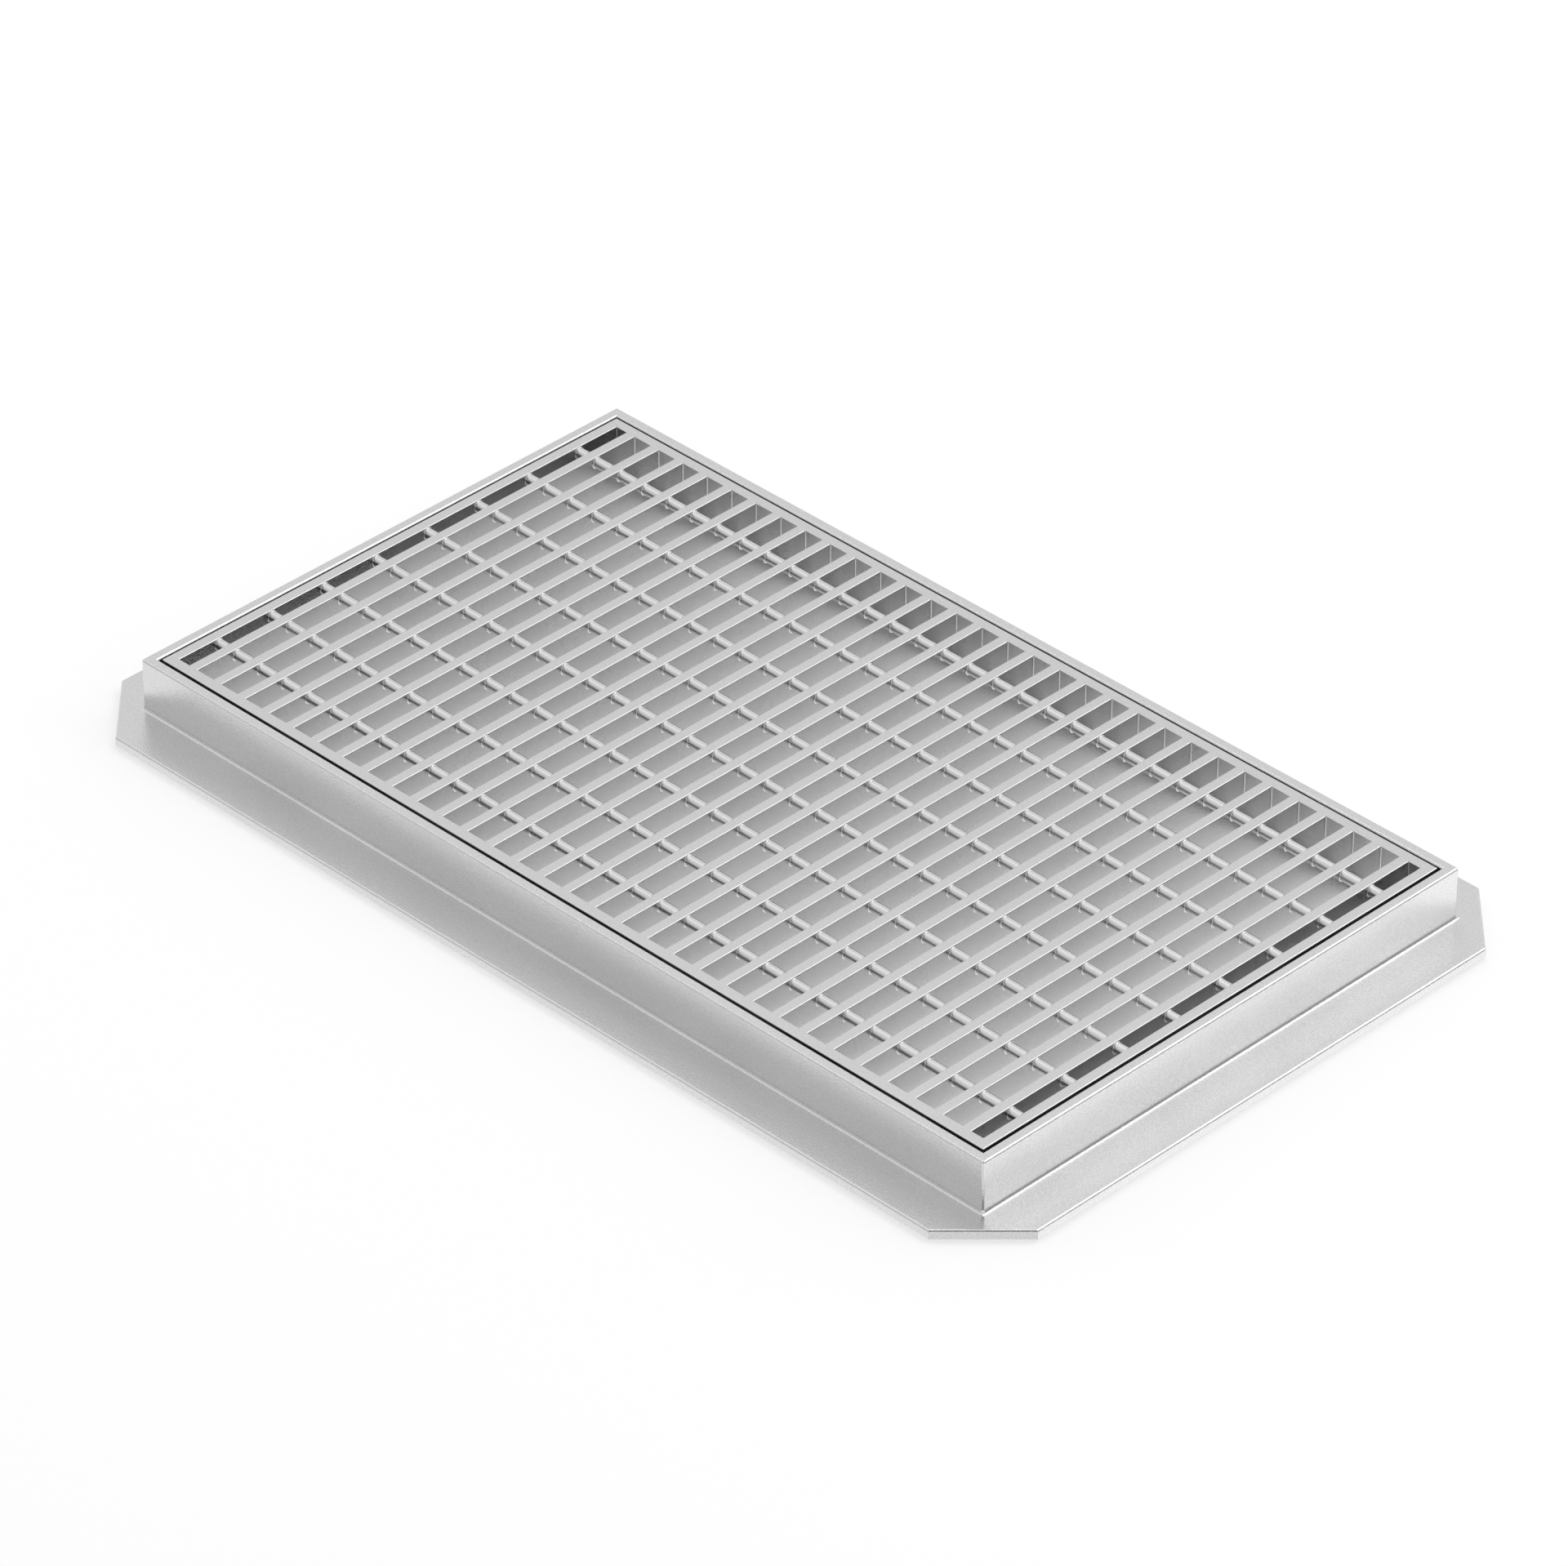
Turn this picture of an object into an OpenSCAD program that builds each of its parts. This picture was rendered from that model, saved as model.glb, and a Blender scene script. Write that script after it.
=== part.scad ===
// Catch basin cover: a welded bar grate resting in the pocket of a flanged steel frame.
// Origin at the centre of the footprint, on the frame's underside, in millimetres.
// +X runs along the length, +Y to the back, +Z is up.

/* [Grate] */
// Length of the grate over its banding
grate_l = 955; // [455:5:1155]
// Width of the grate over its banding
grate_w = 530; // [330:5:830]
// Depth of the bars and the banding, and of the pocket that holds them
grate_h = 50; // [30:1:80]
// Thickness of the flat bar that bands the grate
banding_t = 10; // [6:0.5:16]
// Thickness of each bearing bar
bar_t = 10; // [6:0.5:14]
// Spacing of the bearing bars, centre to centre
bar_pitch = 30; // [26:1:60]
// Diameter of the cross rods
rod_d = 10; // [6:0.5:12]
// Spacing of the cross rods, centre to centre
rod_pitch = 60; // [40:5:120]
// Depth of the rods' tops below the tread surface
rod_cover = 1; // [0.8:0.2:8]
// Clearance round each rod in the bars' holes
rod_hole_gap = 0.1; // [0.05:0.05:0.2]
// Leg of the weld collar where a rod meets the face of a bar
collar_leg = 1; // [0.4:0.1:1]
// Leg of the upright welds between the bars' ends and the banding
bar_weld = 1; // [0.6:0.1:2]
// Radius of the eased edges of the bars and the banding
bar_edge_r = 0.8; // [0.4:0.1:1.6]

/* [Frame] */
// Clearance between the grate and the frame's wall, all round
grate_gap = 2.5; // [2:0.5:6]
// Thickness of the wall round the pocket
wall_t = 10; // [6:0.5:16]
// Thickness of the base
base_t = 10; // [6:0.5:20]
// Width of the flange outside the wall
flange_w = 45; // [35:1:90]
// Width of the ledge inside the wall, which carries the grate
ledge_w = 20; // [16:1:40]
// Leg of the 45 degree cut across each corner of the flange
corner_cut = 60; // [20:1:80]
// Leg of the welds along the foot of the wall
foot_weld = 2; // [1:0.25:4]
// Radius of the eased edges of the wall and the base
frame_edge_r = 2; // [0.5:0.25:2.5]

/* [Hidden] */
$fn = 64;
SIDES = ["front", "right", "back", "left"];

// Clear length and width inside the banding
bay_l = grate_l - 2 * banding_t;
bay_w = grate_w - 2 * banding_t;

// The end slots are at least half as wide as a full one
slot_w = bar_pitch - bar_t;
bars_each_side = floor((bay_l / 2 - bar_t / 2 - slot_w / 2) / bar_pitch);
bar_count = 2 * bars_each_side + 1;

// The outer rods stay at least half a spacing off the banding
rods_each_side = floor(bay_w / 2 / rod_pitch);
rod_count = 2 * rods_each_side;
rod_r = rod_d / 2;

// A collar reaches no higher than the tread surface
collar = min(collar_leg, rod_cover);

// The frame's base over its flange, and the width of the flat that it is made of
base_l = grate_l + 2 * (grate_gap + wall_t + flange_w);
base_w = grate_w + 2 * (grate_gap + wall_t + flange_w);
base_flat_w = ledge_w + wall_t + flange_w;

// The weld inside the pocket stays clear of the grate
grate_to_weld = 0.3;
pocket_weld = min(foot_weld, grate_gap - grate_to_weld);

// A weld's face is slightly hollow: its arc is centred this many legs out from the corner
weld_arc = 1.5;

// Levels of the ledge, the tread surface and the rods' axes
seat_z = base_t;
tread_z = seat_z + grate_h;
rod_z = tread_z - rod_cover - rod_r;

function two_digits(n) = n < 10 ? str("0", n) : str(n);
function bar_name(i) = str("bearing_bar_", two_digits(i));
function rod_name(i) = str("cross_rod_", two_digits(i));
function bar_x(i) = (i - 1 - bars_each_side) * bar_pitch;
function rod_y(i) = (i - 0.5 - rods_each_side) * rod_pitch;

// Outlines and placing

// Rectangle about the origin with its four corners eased
module eased_rectangle(w, h, r) {
    square([w - 2 * r, h], center = true);
    square([w, h - 2 * r], center = true);
    for (x = [-1, 1], y = [-1, 1])
        translate([x * (w / 2 - r), y * (h / 2 - r)])
            circle(r);
}

// Section of a weld in the corner between +X and +Y
module weld_section(leg) {
    difference() {
        polygon([[0, 0], [leg, 0], [0, leg]]);
        translate([weld_arc * leg, weld_arc * leg])
            circle(leg * sqrt(pow(weld_arc, 2) + pow(weld_arc - 1, 2)));
    }
}

// Carries an outline drawn in Y and Z along X, centred
module along_x(length) {
    rotate([90, 0, 90])
        linear_extrude(length, center = true)
            children();
}

// Carries an outline drawn in X and Z along Y, centred
module along_y(length) {
    rotate([90, 0, 0])
        linear_extrude(length, center = true)
            children();
}

// Turns a piece made for the front to its own side
module on_side(side) {
    quarter_turns = search([side], SIDES)[0];
    rotate([0, 0, 90 * quarter_turns])
        children();
}

// Grate

// Flat bar across the bay, with all its long edges eased
module cross_bar(thickness) {
    translate([0, 0, seat_z + grate_h / 2])
        along_y(bay_w)
            eased_rectangle(thickness, grate_h, bar_edge_r);
}

// Upright welds at both ends of a bar, along its face on the +X side
module end_welds(thickness) {
    for (end = [0, 1])
        mirror([0, end, 0])
            translate([thickness / 2, -bay_w / 2, seat_z + bar_edge_r])
                linear_extrude(grate_h - 2 * bar_edge_r)
                    weld_section(bar_weld);
}

// Bearing bar, counted from -X, with the holes that the rods run through
module bearing_bar(i) {
    color("silver")
        translate([bar_x(i), 0, 0])
            difference() {
                union() {
                    cross_bar(bar_t);
                    end_welds(bar_t);
                    mirror([1, 0, 0])
                        end_welds(bar_t);
                }
                for (rod = [1:rod_count])
                    translate([0, rod_y(rod), rod_z])
                        rotate([0, 90, 0])
                            cylinder(h = 2 * bar_t, r = rod_r + rod_hole_gap, center = true);
            }
}

// Half section of a rod where it runs through the bar at x, with a collar at each face
function rod_through_bar(x) = [
    [rod_r, x - bar_t / 2 - collar],
    [rod_r + collar, x - bar_t / 2],
    [rod_r, x - bar_t / 2],
    [rod_r, x + bar_t / 2],
    [rod_r + collar, x + bar_t / 2],
    [rod_r, x + bar_t / 2 + collar]
];

// Cross rod, counted from -Y, which runs from banding to banding
module cross_rod(i) {
    half_section = concat(
        [[0, -bay_l / 2], [rod_r + collar, -bay_l / 2], [rod_r, collar - bay_l / 2]],
        [for (bar = [1:bar_count]) each rod_through_bar(bar_x(bar))],
        [[rod_r, bay_l / 2 - collar], [rod_r + collar, bay_l / 2], [0, bay_l / 2]]
    );
    color("gainsboro")
        translate([0, rod_y(i), rod_z])
            rotate([0, 90, 0])
                rotate_extrude()
                    polygon(half_section);
}

// Outside of the whole grate, eased along all twelve of its edges
module grate_envelope() {
    intersection() {
        translate([0, 0, seat_z + grate_h / 2]) {
            intersection() {
                along_x(grate_l)
                    eased_rectangle(grate_w, grate_h, bar_edge_r);
                along_y(grate_w)
                    eased_rectangle(grate_l, grate_h, bar_edge_r);
            }
        }
        linear_extrude(tread_z)
            eased_rectangle(grate_l, grate_w, bar_edge_r);
    }
}

// Long banding runs the full length and closes the ends of the bearing bars
module long_banding(side) {
    color("lightgray")
        on_side(side)
            intersection() {
                grate_envelope();
                translate([-grate_l / 2, -grate_w / 2, seat_z])
                    cube([grate_l, banding_t, grate_h]);
            }
}

// Short banding fits between the two long ones
module short_banding(side) {
    face_left = side == "left" ? 0 : 1;
    color("lightgray")
        mirror([face_left, 0, 0])
            translate([-(bay_l + banding_t) / 2, 0, 0]) {
                cross_bar(banding_t);
                end_welds(banding_t);
            }
}

// Frame

// Plan of the front side, mitred at 45 degrees to its neighbours
module mitred_side(l, w) {
    linear_extrude(tread_z)
        polygon([
            [-l / 2, -w / 2],
            [l / 2, -w / 2],
            [l / 2 - base_flat_w, base_flat_w - w / 2],
            [base_flat_w - l / 2, base_flat_w - w / 2]
        ]);
}

// What the cut across a corner takes away: the cut face is at 0, with eased edges, and faces +X
module corner_waste() {
    along_y(3 * corner_cut)
        difference() {
            translate([-frame_edge_r, -frame_edge_r])
                square([corner_cut, base_t + 2 * frame_edge_r]);
            translate([-base_t, base_t / 2])
                eased_rectangle(2 * base_t, base_t, frame_edge_r);
        }
}

// Front flat of a base of this length and width, with its corners cut at 45 degrees
module base_flat(l, w) {
    difference() {
        intersection() {
            translate([0, (base_flat_w - w) / 2, base_t / 2])
                along_x(l)
                    eased_rectangle(base_flat_w, base_t, frame_edge_r);
            mitred_side(l, w);
        }
        for (end = [0, 1])
            mirror([end, 0, 0])
                translate([(l - corner_cut) / 2, (corner_cut - w) / 2, 0])
                    rotate([0, 0, -45])
                        corner_waste();
    }
}

// Section of the wall, with its outer face at 0 and its rim eased on both edges
module wall_section() {
    translate([0, seat_z])
        square([wall_t, grate_h - frame_edge_r]);
    translate([frame_edge_r, seat_z])
        square([wall_t - 2 * frame_edge_r, grate_h]);
    for (y = [frame_edge_r, wall_t - frame_edge_r])
        translate([y, tread_z - frame_edge_r])
            circle(frame_edge_r);
}

// Section of the wall's foot, which is welded to the base on both sides
module foot_section() {
    translate([0, seat_z]) {
        square([wall_t, foot_weld]);
        mirror([1, 0])
            weld_section(foot_weld);
        translate([wall_t, 0])
            weld_section(pocket_weld);
    }
}

// Front flat of the wall on a base of this length and width
module wall_flat(l, w) {
    wall_outer_l = l - 2 * flange_w;
    wall_outer_w = w - 2 * flange_w;
    intersection() {
        union() {
            intersection() {
                translate([0, -wall_outer_w / 2, 0])
                    along_x(l)
                        wall_section();
                linear_extrude(tread_z)
                    eased_rectangle(wall_outer_l, wall_outer_w, frame_edge_r);
            }
            translate([0, -wall_outer_w / 2, 0])
                along_x(l)
                    foot_section();
        }
        mitred_side(l, w);
    }
}

// Places a frame side, made for the base's length and width as that side sees them
module frame_side(side) {
    long_side = side == "front" || side == "back";
    on_side(side)
        if (long_side)
            children(0);
        else
            children(1);
}

module base_side(side) {
    color("darkgray")
        frame_side(side) {
            base_flat(base_l, base_w);
            base_flat(base_w, base_l);
        }
}

module wall_side(side) {
    color("lightslategray")
        frame_side(side) {
            wall_flat(base_l, base_w);
            wall_flat(base_w, base_l);
        }
}

for (i = [1:bar_count])
    bearing_bar(i);
for (i = [1:rod_count])
    cross_rod(i);
long_banding("front");  // banding_front
long_banding("back");  // banding_back
short_banding("left");  // banding_left
short_banding("right");  // banding_right
for (side = SIDES)
    base_side(side);
for (side = SIDES)
    wall_side(side);
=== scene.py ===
import math

import bmesh
import bpy
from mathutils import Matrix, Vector


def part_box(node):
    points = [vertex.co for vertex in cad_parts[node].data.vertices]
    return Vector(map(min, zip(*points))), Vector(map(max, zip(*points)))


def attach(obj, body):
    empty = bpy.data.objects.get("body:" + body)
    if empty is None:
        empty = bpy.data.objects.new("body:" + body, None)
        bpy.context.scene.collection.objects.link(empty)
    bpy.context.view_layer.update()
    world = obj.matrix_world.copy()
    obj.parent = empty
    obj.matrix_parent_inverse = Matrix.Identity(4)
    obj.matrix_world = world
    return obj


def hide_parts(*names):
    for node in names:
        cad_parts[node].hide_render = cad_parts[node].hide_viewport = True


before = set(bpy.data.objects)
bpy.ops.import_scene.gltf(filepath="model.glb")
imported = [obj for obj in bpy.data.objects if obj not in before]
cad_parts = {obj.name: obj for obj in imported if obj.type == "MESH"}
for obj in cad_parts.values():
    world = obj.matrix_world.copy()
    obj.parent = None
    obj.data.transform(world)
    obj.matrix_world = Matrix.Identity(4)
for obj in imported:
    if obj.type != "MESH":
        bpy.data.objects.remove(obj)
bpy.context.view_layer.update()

SIDES = ("front", "right", "back", "left")
BEARING_BARS = sorted(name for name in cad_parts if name.startswith("bearing_bar_"))
CROSS_RODS = sorted(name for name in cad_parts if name.startswith("cross_rod_"))
BANDINGS = [f"banding_{side}" for side in SIDES]
BASE_FLATS = [f"base_{side}" for side in SIDES]

# Sizes of the bought steel and of the welds, in metres. A collar is as wide as it is high, and so is a pocket weld
BAR_T = 0.010
ROD_R = 0.005
ROD_COLLAR = 0.001
WALL_T = 0.010
WALL_EDGE_R = 0.002
FOOT_WELD_OUT = 0.0024
FOOT_WELD_UP = 0.0043
POCKET_WELD = 0.002

# Facets that make each round read as round at the photograph's size
ROD_FACETS = 40
COLLAR_STEPS = 4
WELD_STEPS = 6
RIM_STEPS = 6
CORNER_STEPS = 5

# Points closer than this many metres are one, and an edge that turns by more degrees than this stays sharp
SAME_POINT = 1e-6
SHARP_EDGE_DEGREES = 40


# Colours and sizes

def colour(hex_code):
    """An sRGB hex colour as linear RGBA."""
    def linear(pair):
        value = int(pair, 16) / 255
        return value / 12.92 if value <= 0.04045 else ((value + 0.055) / 1.055) ** 2.4
    digits = hex_code.lstrip("#")
    return (*(linear(digits[i:i + 2]) for i in (0, 2, 4)), 1.0)


def scale_for(size_mm):
    """Scale of a noise in object coordinates, which are metres, so that its features are this many mm wide."""
    return 1000 / size_mm


# Materials

# Zinc lies in clouds a hand wide
CLOUD_MM = 110
# Zinc's own grain is about 0.3 mm wide, too fine to show in the picture, so it is drawn this coarse
DRAWN_GRAIN_MM = 1.1
# Noise values between which the clouds and the grain go from one zinc to the other
CLOUD_RANGE = (0.3, 0.7)
GRAIN_RANGE = (0.25, 0.75)
# How much of the change of colour comes from the grain, and the rest from the clouds
GRAIN_SHARE_OF_COLOUR = 0.85
# How much rougher and smoother than the average the clouds are
CLOUD_ROUGHNESS = 0.04
# The noise is turned, in radians, because it fades on a face that lies along its own grid
NOISE_TURN = (0.6, 0.4, 0.2)


def add_node(tree, kind, settings=None, **links):
    """Adds a node to a tree. Settings name its properties or its inputs. Links give an output for each input, by
    the input's name with its spaces as underscores, or by in0, in1 where several have one name."""
    node = tree.nodes.new(kind)
    for name, value in (settings or {}).items():
        if isinstance(name, str) and hasattr(node, name):
            setattr(node, name, value)
        else:
            node.inputs[name].default_value = value
    for name, output in links.items():
        key = int(name[2:]) if name[:2] == "in" and name[2:].isdigit() else name.replace("_", " ")
        tree.links.new(output, node.inputs[key])
    return node


def start_material(name):
    """A new material, its node tree and its output node, with nothing else in the tree."""
    material = bpy.data.materials.new(name)
    material.use_nodes = True
    tree = material.node_tree
    tree.nodes.clear()
    return material, tree, add_node(tree, "ShaderNodeOutputMaterial")


def galvanised_steel(name, light_zinc, dark_zinc, grain_mm, grain_depth_mm, roughness):
    """Hot-dipped galvanised steel with a fine, satin zinc skin.

    The zinc freezes into a tight grain that breaks reflections up into a soft stipple, and it lies a little
    thicker and duller in some places than in others, which shows as faint clouds a hand wide."""
    material, tree, output = start_material(name)
    place = add_node(tree, "ShaderNodeTexCoord")
    turned = add_node(tree, "ShaderNodeMapping", {"Rotation": NOISE_TURN}, Vector=place.outputs["Object"])
    clouds = add_node(tree, "ShaderNodeTexNoise", {"Scale": scale_for(CLOUD_MM), "Detail": 3.0, "Roughness": 0.5},
                      Vector=turned.outputs["Vector"])
    grain = add_node(tree, "ShaderNodeTexNoise", {"Scale": scale_for(grain_mm), "Detail": 0.5, "Roughness": 0.5},
                     Vector=turned.outputs["Vector"])

    # Where the skin is thick it is duller, and each grain is a touch lighter or darker than the next
    cloud_share = add_node(tree, "ShaderNodeMapRange", {"From Min": CLOUD_RANGE[0], "From Max": CLOUD_RANGE[1]},
                           Value=clouds.outputs["Fac"])
    grain_share = add_node(tree, "ShaderNodeMapRange", {"From Min": GRAIN_RANGE[0], "From Max": GRAIN_RANGE[1]},
                           Value=grain.outputs["Fac"])
    zinc_share = add_node(tree, "ShaderNodeMix", {"data_type": "FLOAT", "Factor": GRAIN_SHARE_OF_COLOUR},
                          in2=cloud_share.outputs["Result"], in3=grain_share.outputs["Result"])
    zinc = add_node(tree, "ShaderNodeMix", {"data_type": "RGBA", 6: colour(light_zinc), 7: colour(dark_zinc)},
                    in0=zinc_share.outputs[0])
    dullness = add_node(tree, "ShaderNodeMapRange",
                        {"From Min": CLOUD_RANGE[0], "From Max": CLOUD_RANGE[1],
                         "To Min": roughness - CLOUD_ROUGHNESS, "To Max": roughness + CLOUD_ROUGHNESS},
                        Value=clouds.outputs["Fac"])
    relief = add_node(tree, "ShaderNodeBump", {"Strength": 1.0, "Distance": grain_depth_mm / 1000},
                      Height=grain.outputs["Fac"])
    skin = add_node(tree, "ShaderNodeBsdfPrincipled", {"Metallic": 1.0},
                    Base_Color=zinc.outputs[2], Roughness=dullness.outputs["Result"], Normal=relief.outputs["Normal"])
    tree.links.new(skin.outputs["BSDF"], output.inputs["Surface"])
    return material


def finish_pieces(names, material):
    """Gives CAD pieces their finish."""
    for name in names:
        for material_slot in bpy.data.objects[name].material_slots:
            material_slot.material = material


# Flat bar that is sheared, welded and dipped: even, with a fine stipple
BAR_STEEL = galvanised_steel("hot_dipped_galvanised_bar_satin", "#DFDFDF", "#D3D3D3",
                             DRAWN_GRAIN_MM, grain_depth_mm=0.08, roughness=0.27)
# Drawn rod is smoother under its zinc, so that it carries clear light and dark bands along its length
ROD_STEEL = galvanised_steel("hot_dipped_galvanised_rod_smooth", "#E0E0E0", "#DADADA",
                             DRAWN_GRAIN_MM, grain_depth_mm=0.02, roughness=0.24)
# Hot-rolled flat bar keeps a trace of its mill grain, which shows most where it mirrors the wall
FRAME_STEEL = galvanised_steel("hot_dipped_galvanised_frame_fine_grained", "#E5E5E5", "#D3D3D3",
                               DRAWN_GRAIN_MM, grain_depth_mm=0.13, roughness=0.25)

finish_pieces(BEARING_BARS + BANDINGS, BAR_STEEL)
finish_pieces(BASE_FLATS, FRAME_STEEL)


# Rods and walls, with the welds' faces rounded out

def finish_mesh(bm, name, node, steel):
    """Turns a closed mesh into a piece that stands for a CAD node, with its large faces shaded flat."""
    bmesh.ops.remove_doubles(bm, verts=bm.verts, dist=SAME_POINT)
    bmesh.ops.dissolve_degenerate(bm, edges=bm.edges, dist=SAME_POINT)
    bmesh.ops.recalc_face_normals(bm, faces=bm.faces)
    mesh = bpy.data.meshes.new(name)
    bm.to_mesh(mesh)
    bm.free()
    mesh.shade_smooth()
    mesh.set_sharp_from_angle(angle=math.radians(SHARP_EDGE_DEGREES))
    mesh.materials.append(steel)
    piece = bpy.data.objects.new(name, mesh)
    bpy.context.scene.collection.objects.link(piece)
    flats = piece.modifiers.new("flats_stay_flat", "WEIGHTED_NORMAL")
    flats.keep_sharp = True
    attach(piece, "root")
    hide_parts(node)
    return piece


def quarter_turn(steps):
    """Angles from 0 to a right angle."""
    return [i / steps * math.pi / 2 for i in range(steps + 1)]


def weld_arc(out, up, steps):
    """Points (out, up) of a hollow weld face in a corner, from its toe on the flat to its top on the upright."""
    return [(out * (1 - math.sin(turn)), up * (1 - math.cos(turn))) for turn in quarter_turn(steps)]


def rod_outline(ends, bar_centres):
    """Outline (x, radius) of a rod from end to end, with a weld against every face that it meets."""
    half_bar = BAR_T / 2
    collar = [(out, ROD_R + up) for out, up in weld_arc(ROD_COLLAR, ROD_COLLAR, COLLAR_STEPS)]
    outline = [(ends[0], 0.0)] + [(ends[0] + out, radius) for out, radius in reversed(collar)]
    for x in bar_centres:
        outline += [(x - half_bar - out, radius) for out, radius in collar]
        outline += [(x - half_bar, ROD_R), (x + half_bar, ROD_R)]
        outline += [(x + half_bar + out, radius) for out, radius in reversed(collar)]
    return outline + [(ends[1] - out, radius) for out, radius in collar] + [(ends[1], 0.0)]


def turn_cross_rod(node, bar_centres):
    """Round rod turned about its own axis."""
    lo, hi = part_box(node)
    y, z = (lo[1] + hi[1]) / 2, (lo[2] + hi[2]) / 2
    turns = [2 * math.pi * i / ROD_FACETS for i in range(ROD_FACETS)]
    bm = bmesh.new()
    rings = []
    for x, radius in rod_outline((lo[0], hi[0]), bar_centres):
        if radius == 0:
            rings.append([bm.verts.new((x, y, z))] * ROD_FACETS)
        else:
            rings.append([bm.verts.new((x, y + radius * math.cos(t), z + radius * math.sin(t))) for t in turns])
    for near, far in zip(rings, rings[1:]):
        for i in range(ROD_FACETS):
            corners = [near[i - 1], near[i], far[i], far[i - 1]]
            bm.faces.new([v for k, v in enumerate(corners) if v not in corners[:k]])
    return finish_mesh(bm, node.replace("cross_rod", "round_rod_welded"), node, ROD_STEEL)


def wall_outline(foot, rim):
    """Outline (inward from the outer face, height) of the wall, from the outer toe over the rim to the inner toe."""
    outer_weld = [(-out, foot + up) for out, up in weld_arc(FOOT_WELD_OUT, FOOT_WELD_UP, WELD_STEPS)]
    inner_weld = [(WALL_T + out, foot + up) for out, up in reversed(weld_arc(POCKET_WELD, POCKET_WELD, WELD_STEPS))]
    eased = [(WALL_EDGE_R * (1 - math.cos(turn)), rim - WALL_EDGE_R * (1 - math.sin(turn)))
             for turn in quarter_turn(RIM_STEPS)]
    return outer_weld + eased + [(WALL_T - inward, z) for inward, z in reversed(eased)] + inner_weld


def wall_corner(inward, share):
    """Offset (along, out) of an outline's point from the centre of the wall's eased upright corner, where share
    runs from 0 at the corner's start to 1 at the mitre. The wall turns round and the toe of its weld turns sharp."""
    if inward >= WALL_EDGE_R:
        return WALL_EDGE_R - inward, WALL_EDGE_R - inward
    turn = share * math.pi / 4
    sharp = min(1.0, max(0.0, -inward / FOOT_WELD_OUT))
    radius = WALL_EDGE_R - inward
    return (radius * ((1 - sharp) * math.sin(turn) + sharp * math.tan(turn)),
            radius * ((1 - sharp) * math.cos(turn) + sharp))


def bend_wall(side):
    """Flat bar on edge between its two mitres, welded to the base along both sides of its foot."""
    node = f"wall_{side}"
    quarter_turns = SIDES.index(side)
    foot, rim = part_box(node)[0][2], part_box(node)[1][2]
    half_l, half_w = OUTER_HALF
    if quarter_turns % 2:
        half_l, half_w = half_w, half_l
    outline = wall_outline(foot, rim)
    shares = [i / CORNER_STEPS for i in range(CORNER_STEPS + 1)]
    bm = bmesh.new()
    stations = []
    for end, order in ((-1, reversed(shares)), (1, shares)):
        for share in order:
            station = []
            for inward, z in outline:
                along, out = wall_corner(inward, share)
                x, y = end * (half_l - WALL_EDGE_R + along), -(half_w - WALL_EDGE_R + out)
                for _ in range(quarter_turns):
                    x, y = -y, x
                station.append(bm.verts.new((x, y, z)))
            stations.append(station)
    for near, far in zip(stations, stations[1:]):
        for i in range(len(outline)):
            bm.faces.new([near[i - 1], near[i], far[i], far[i - 1]])
    bm.faces.new(stations[0])
    bm.faces.new(stations[-1])
    return finish_mesh(bm, f"wall_flat_welded_{side}", node, FRAME_STEEL)


BAR_CENTRES = [(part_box(name)[0][0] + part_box(name)[1][0]) / 2 for name in BEARING_BARS]
# The CAD wall's toe stands this far outside its outer face
CAD_FOOT_WELD = 0.002
OUTER_HALF = (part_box("wall_right")[1][0] - CAD_FOOT_WELD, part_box("wall_back")[1][1] - CAD_FOOT_WELD)

for rod in CROSS_RODS:
    turn_cross_rod(rod, BAR_CENTRES)
for side in SIDES:
    bend_wall(side)


# Studio

FLOOR_HALF_M = 20
# How much the paper shines towards the camera, on top of the light that it reflects
PAPER_LIFT = 0.45
# The sky's strength below and above, and where it starts and stops changing, as the Z of a direction
SKY_BELOW, SKY_ABOVE = 1.2, 0.83
SKY_CHANGES_FROM, SKY_CHANGES_TO = -0.5, 0.5
SOFTBOX_DISTANCE_M = 5

# Darker patches of the sky, which make the steel's edges and walls stand out: the azimuth and elevation of the
# centre, the angle within which a patch is full, the angle where it ends, and the share of light that it takes away
SKY_PATCHES = (
    # Behind the camera, in the mirror of the cut corner's edge
    (-45, 44, 16, 38, 0.75),
    # Low on the right, under the bright line along the edges
    (38, 3, 11, 18, 0.75),
    # Below the camera, in the mirror of the cut corner's face
    (-45, -35, 15, 40, 0.3),
    # Low on the left, in the mirror of the front edges
    (-128, 5, 12, 30, 0.35),
    # Below and behind, in the mirror of the slots' walls
    (135, -35, 20, 60, 0.22),
    # Below on the left, in the mirror of the front wall
    (-128, -35, 10, 35, 0.2),
)

# The photograph's own camera, fitted to the corners of the frame, in metres and in millimetres
CAMERA_PLACE = Vector((4.17736, -4.18308, 4.17787))
CAMERA_AIM = Vector((0, -0.005738, 0.041465))
LENS_MM = 200.78
SENSOR_MM = 36


def towards(azimuth, elevation):
    """Unit vector towards a place in the sky. Azimuth is from +X towards +Y, in degrees."""
    a, e = math.radians(azimuth), math.radians(elevation)
    return Vector((math.cos(a) * math.cos(e), math.sin(a) * math.cos(e), math.sin(e)))


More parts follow.
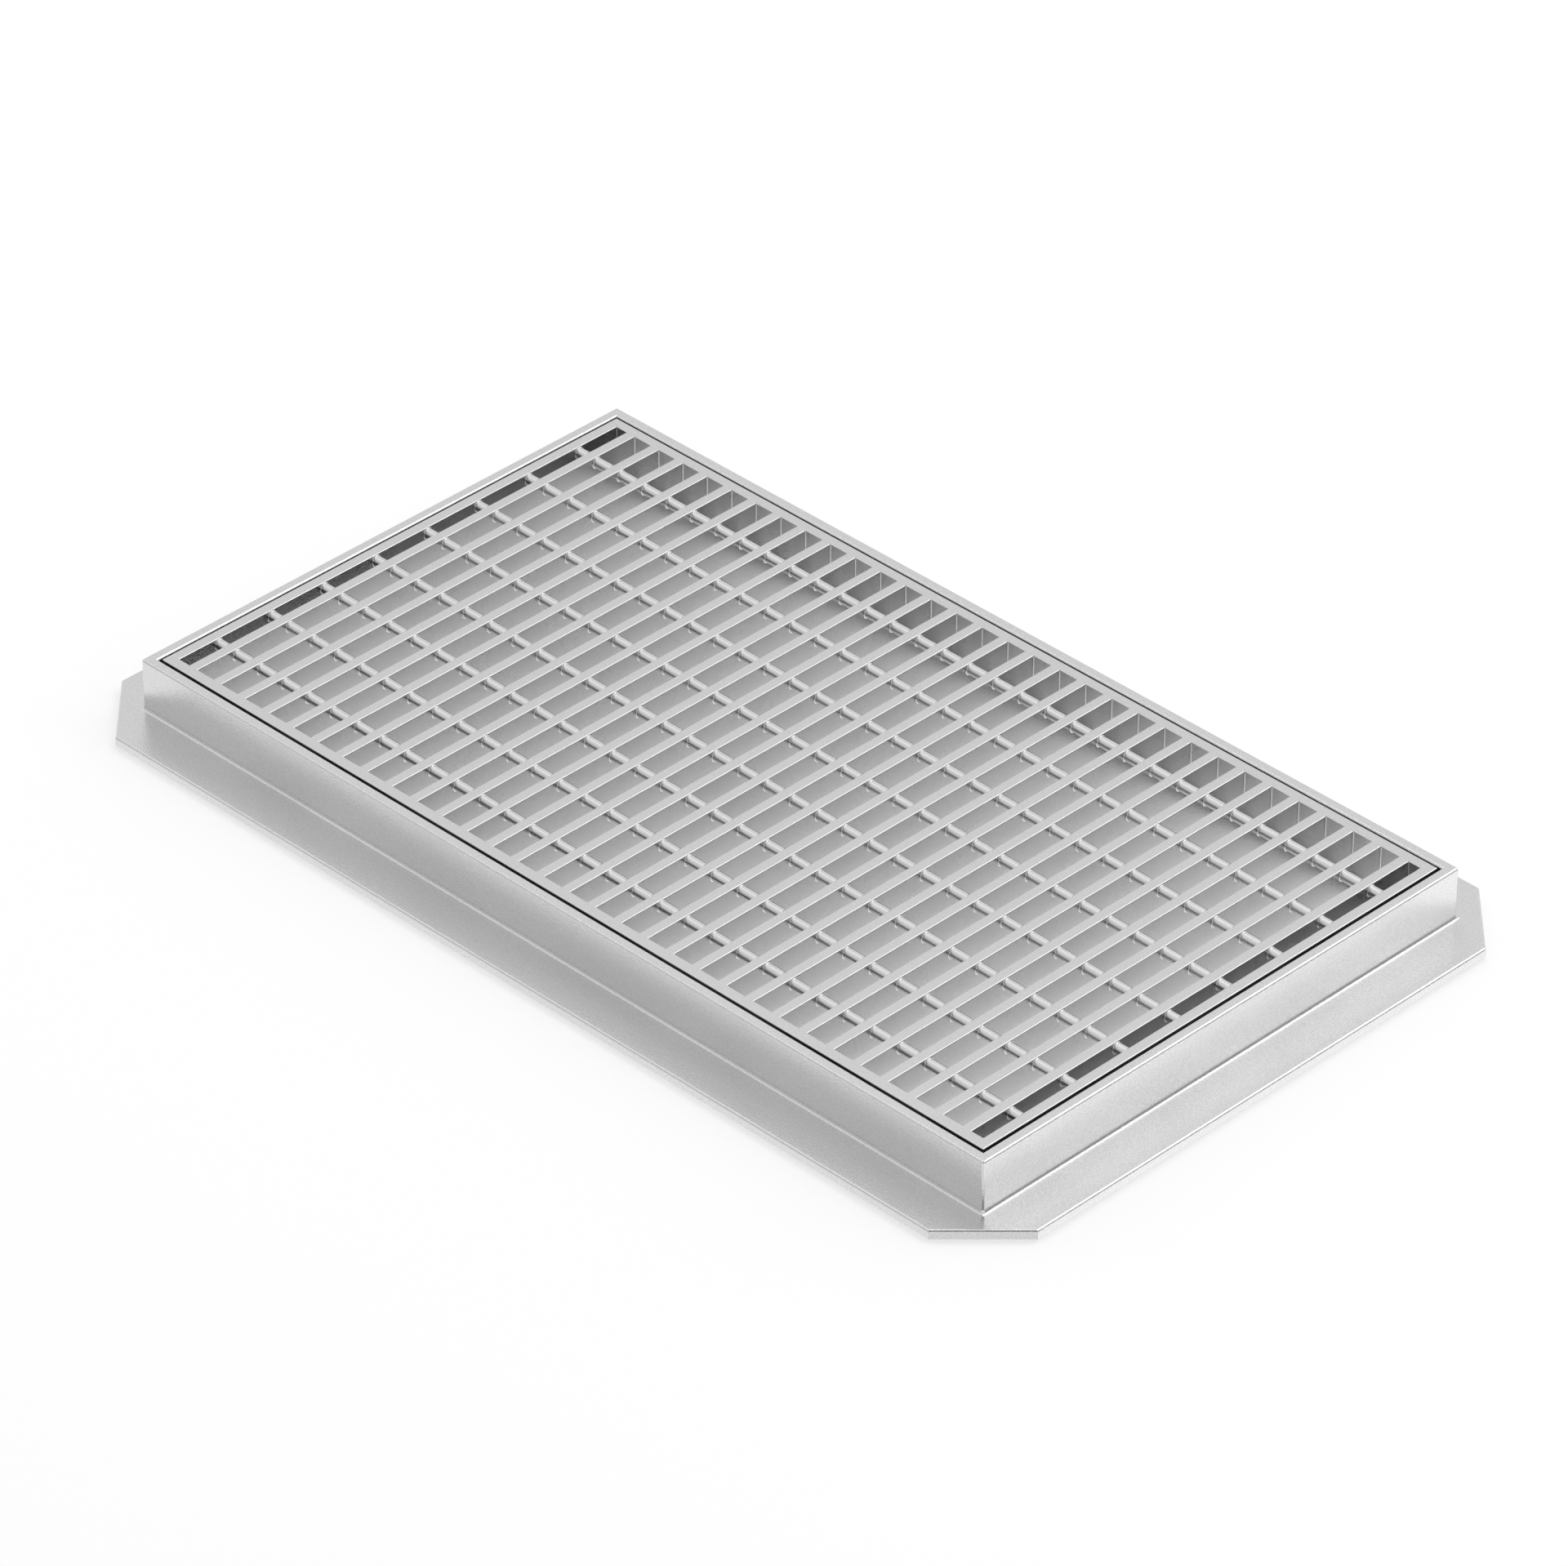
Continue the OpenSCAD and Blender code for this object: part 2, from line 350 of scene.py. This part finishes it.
def lay_floor():
    """White paper that keeps the cover's shadow. What the steel mirrors passes through it to the white room below."""
    half = FLOOR_HALF_M
    mesh = bpy.data.meshes.new("floor")
    mesh.from_pydata([(-half, -half, 0), (half, -half, 0), (half, half, 0), (-half, half, 0)], [], [(0, 1, 2, 3)])
    floor = bpy.data.objects.new("floor", mesh)
    bpy.context.scene.collection.objects.link(floor)

    material, tree, output = start_material("studio_paper_white_matt")
    rays = add_node(tree, "ShaderNodeLightPath")
    lift = add_node(tree, "ShaderNodeMath", {"operation": "MULTIPLY", 1: PAPER_LIFT}, in0=rays.outputs["Is Camera Ray"])
    paper = add_node(tree, "ShaderNodeBsdfDiffuse", {"Color": colour("#D0D0D0")})
    lifted = add_node(tree, "ShaderNodeEmission", {"Color": colour("#FFFFFF")}, Strength=lift.outputs[0])
    seen_paper = add_node(tree, "ShaderNodeAddShader", in0=paper.outputs[0], in1=lifted.outputs[0])
    mirrored = add_node(tree, "ShaderNodeMath", {"operation": "MAXIMUM"},
                        in0=rays.outputs["Is Glossy Ray"], in1=rays.outputs["Is Transmission Ray"])
    let_through = add_node(tree, "ShaderNodeMath", {"operation": "MAXIMUM"},
                           in0=mirrored.outputs[0], in1=rays.outputs["Is Shadow Ray"])
    nothing = add_node(tree, "ShaderNodeBsdfTransparent")
    paper_or_room = add_node(tree, "ShaderNodeMixShader", in0=let_through.outputs[0],
                             in1=seen_paper.outputs[0], in2=nothing.outputs[0])
    tree.links.new(paper_or_room.outputs[0], output.inputs["Surface"])
    mesh.materials.append(material)


def shade_sky(tree, level, direction, centre, full_within, none_beyond, depth):
    """The sky's level with a soft round patch darkened. The angles are from the patch's centre, in degrees."""
    nearness = add_node(tree, "ShaderNodeVectorMath", {"operation": "DOT_PRODUCT", 1: centre},
                        in0=direction.outputs["Generated"])
    share = add_node(tree, "ShaderNodeMapRange",
                     {"interpolation_type": "SMOOTHSTEP", "To Min": 1.0, "To Max": 1.0 - depth,
                      "From Min": math.cos(math.radians(none_beyond)), "From Max": math.cos(math.radians(full_within))},
                     Value=nearness.outputs["Value"])
    shaded = add_node(tree, "ShaderNodeMath", {"operation": "MULTIPLY"}, in0=level, in1=share.outputs["Result"])
    return shaded.outputs[0]


def light_world():
    """Even white studio, a little brighter below and greyer overhead, with a few darker patches in its walls."""
    world = bpy.data.worlds.new("studio_sky")
    bpy.context.scene.world = world
    world.use_nodes = True
    tree = world.node_tree
    tree.nodes.clear()
    direction = add_node(tree, "ShaderNodeTexCoord")
    parts = add_node(tree, "ShaderNodeSeparateXYZ", in0=direction.outputs["Generated"])
    whole = add_node(tree, "ShaderNodeMapRange",
                     {"interpolation_type": "SMOOTHSTEP", "From Min": SKY_CHANGES_FROM, "From Max": SKY_CHANGES_TO,
                      "To Min": SKY_BELOW, "To Max": SKY_ABOVE}, Value=parts.outputs["Z"])
    level = whole.outputs["Result"]
    for azimuth, elevation, full_within, none_beyond, depth in SKY_PATCHES:
        level = shade_sky(tree, level, direction, towards(azimuth, elevation), full_within, none_beyond, depth)
    sky = add_node(tree, "ShaderNodeBackground", {"Color": colour("#FFFFFF")}, Strength=level)
    output = add_node(tree, "ShaderNodeOutputWorld")
    tree.links.new(sky.outputs[0], output.inputs["Surface"])


def hang_softbox(name, azimuth, elevation, size, brightness):
    """Square softbox that faces the cover. Brightness is what it adds to the sky behind it."""
    lamp = bpy.data.lights.new(name, "AREA")
    lamp.shape = "SQUARE"
    lamp.size = size
    lamp.energy = brightness * math.pi * size ** 2
    softbox = bpy.data.objects.new(name, lamp)
    softbox.location = towards(azimuth, elevation) * SOFTBOX_DISTANCE_M
    softbox.rotation_euler = towards(azimuth, elevation).to_track_quat("Z", "Y").to_euler()
    bpy.context.scene.collection.objects.link(softbox)


def set_camera():
    """Long lens from the front right, 35 degrees up, as the photograph has it."""
    lens = bpy.data.cameras.new("camera")
    lens.lens = LENS_MM
    lens.sensor_width = SENSOR_MM
    camera = bpy.data.objects.new("camera", lens)
    camera.location = CAMERA_PLACE
    camera.rotation_euler = (CAMERA_PLACE - CAMERA_AIM).to_track_quat("Z", "Y").to_euler()
    bpy.context.scene.collection.objects.link(camera)
    bpy.context.scene.camera = camera


lay_floor()
light_world()
hang_softbox("softbox_back_right", azimuth=45, elevation=36, size=1.8, brightness=0.75)
hang_softbox("softbox_back", azimuth=78, elevation=56, size=2.6, brightness=1.6)
hang_softbox("softbox_overhead", azimuth=135, elevation=66, size=1.3, brightness=1.8)
hang_softbox("softbox_left", azimuth=180, elevation=55, size=1.8, brightness=0.3)
set_camera()
bpy.context.scene.view_settings.view_transform = "Standard"
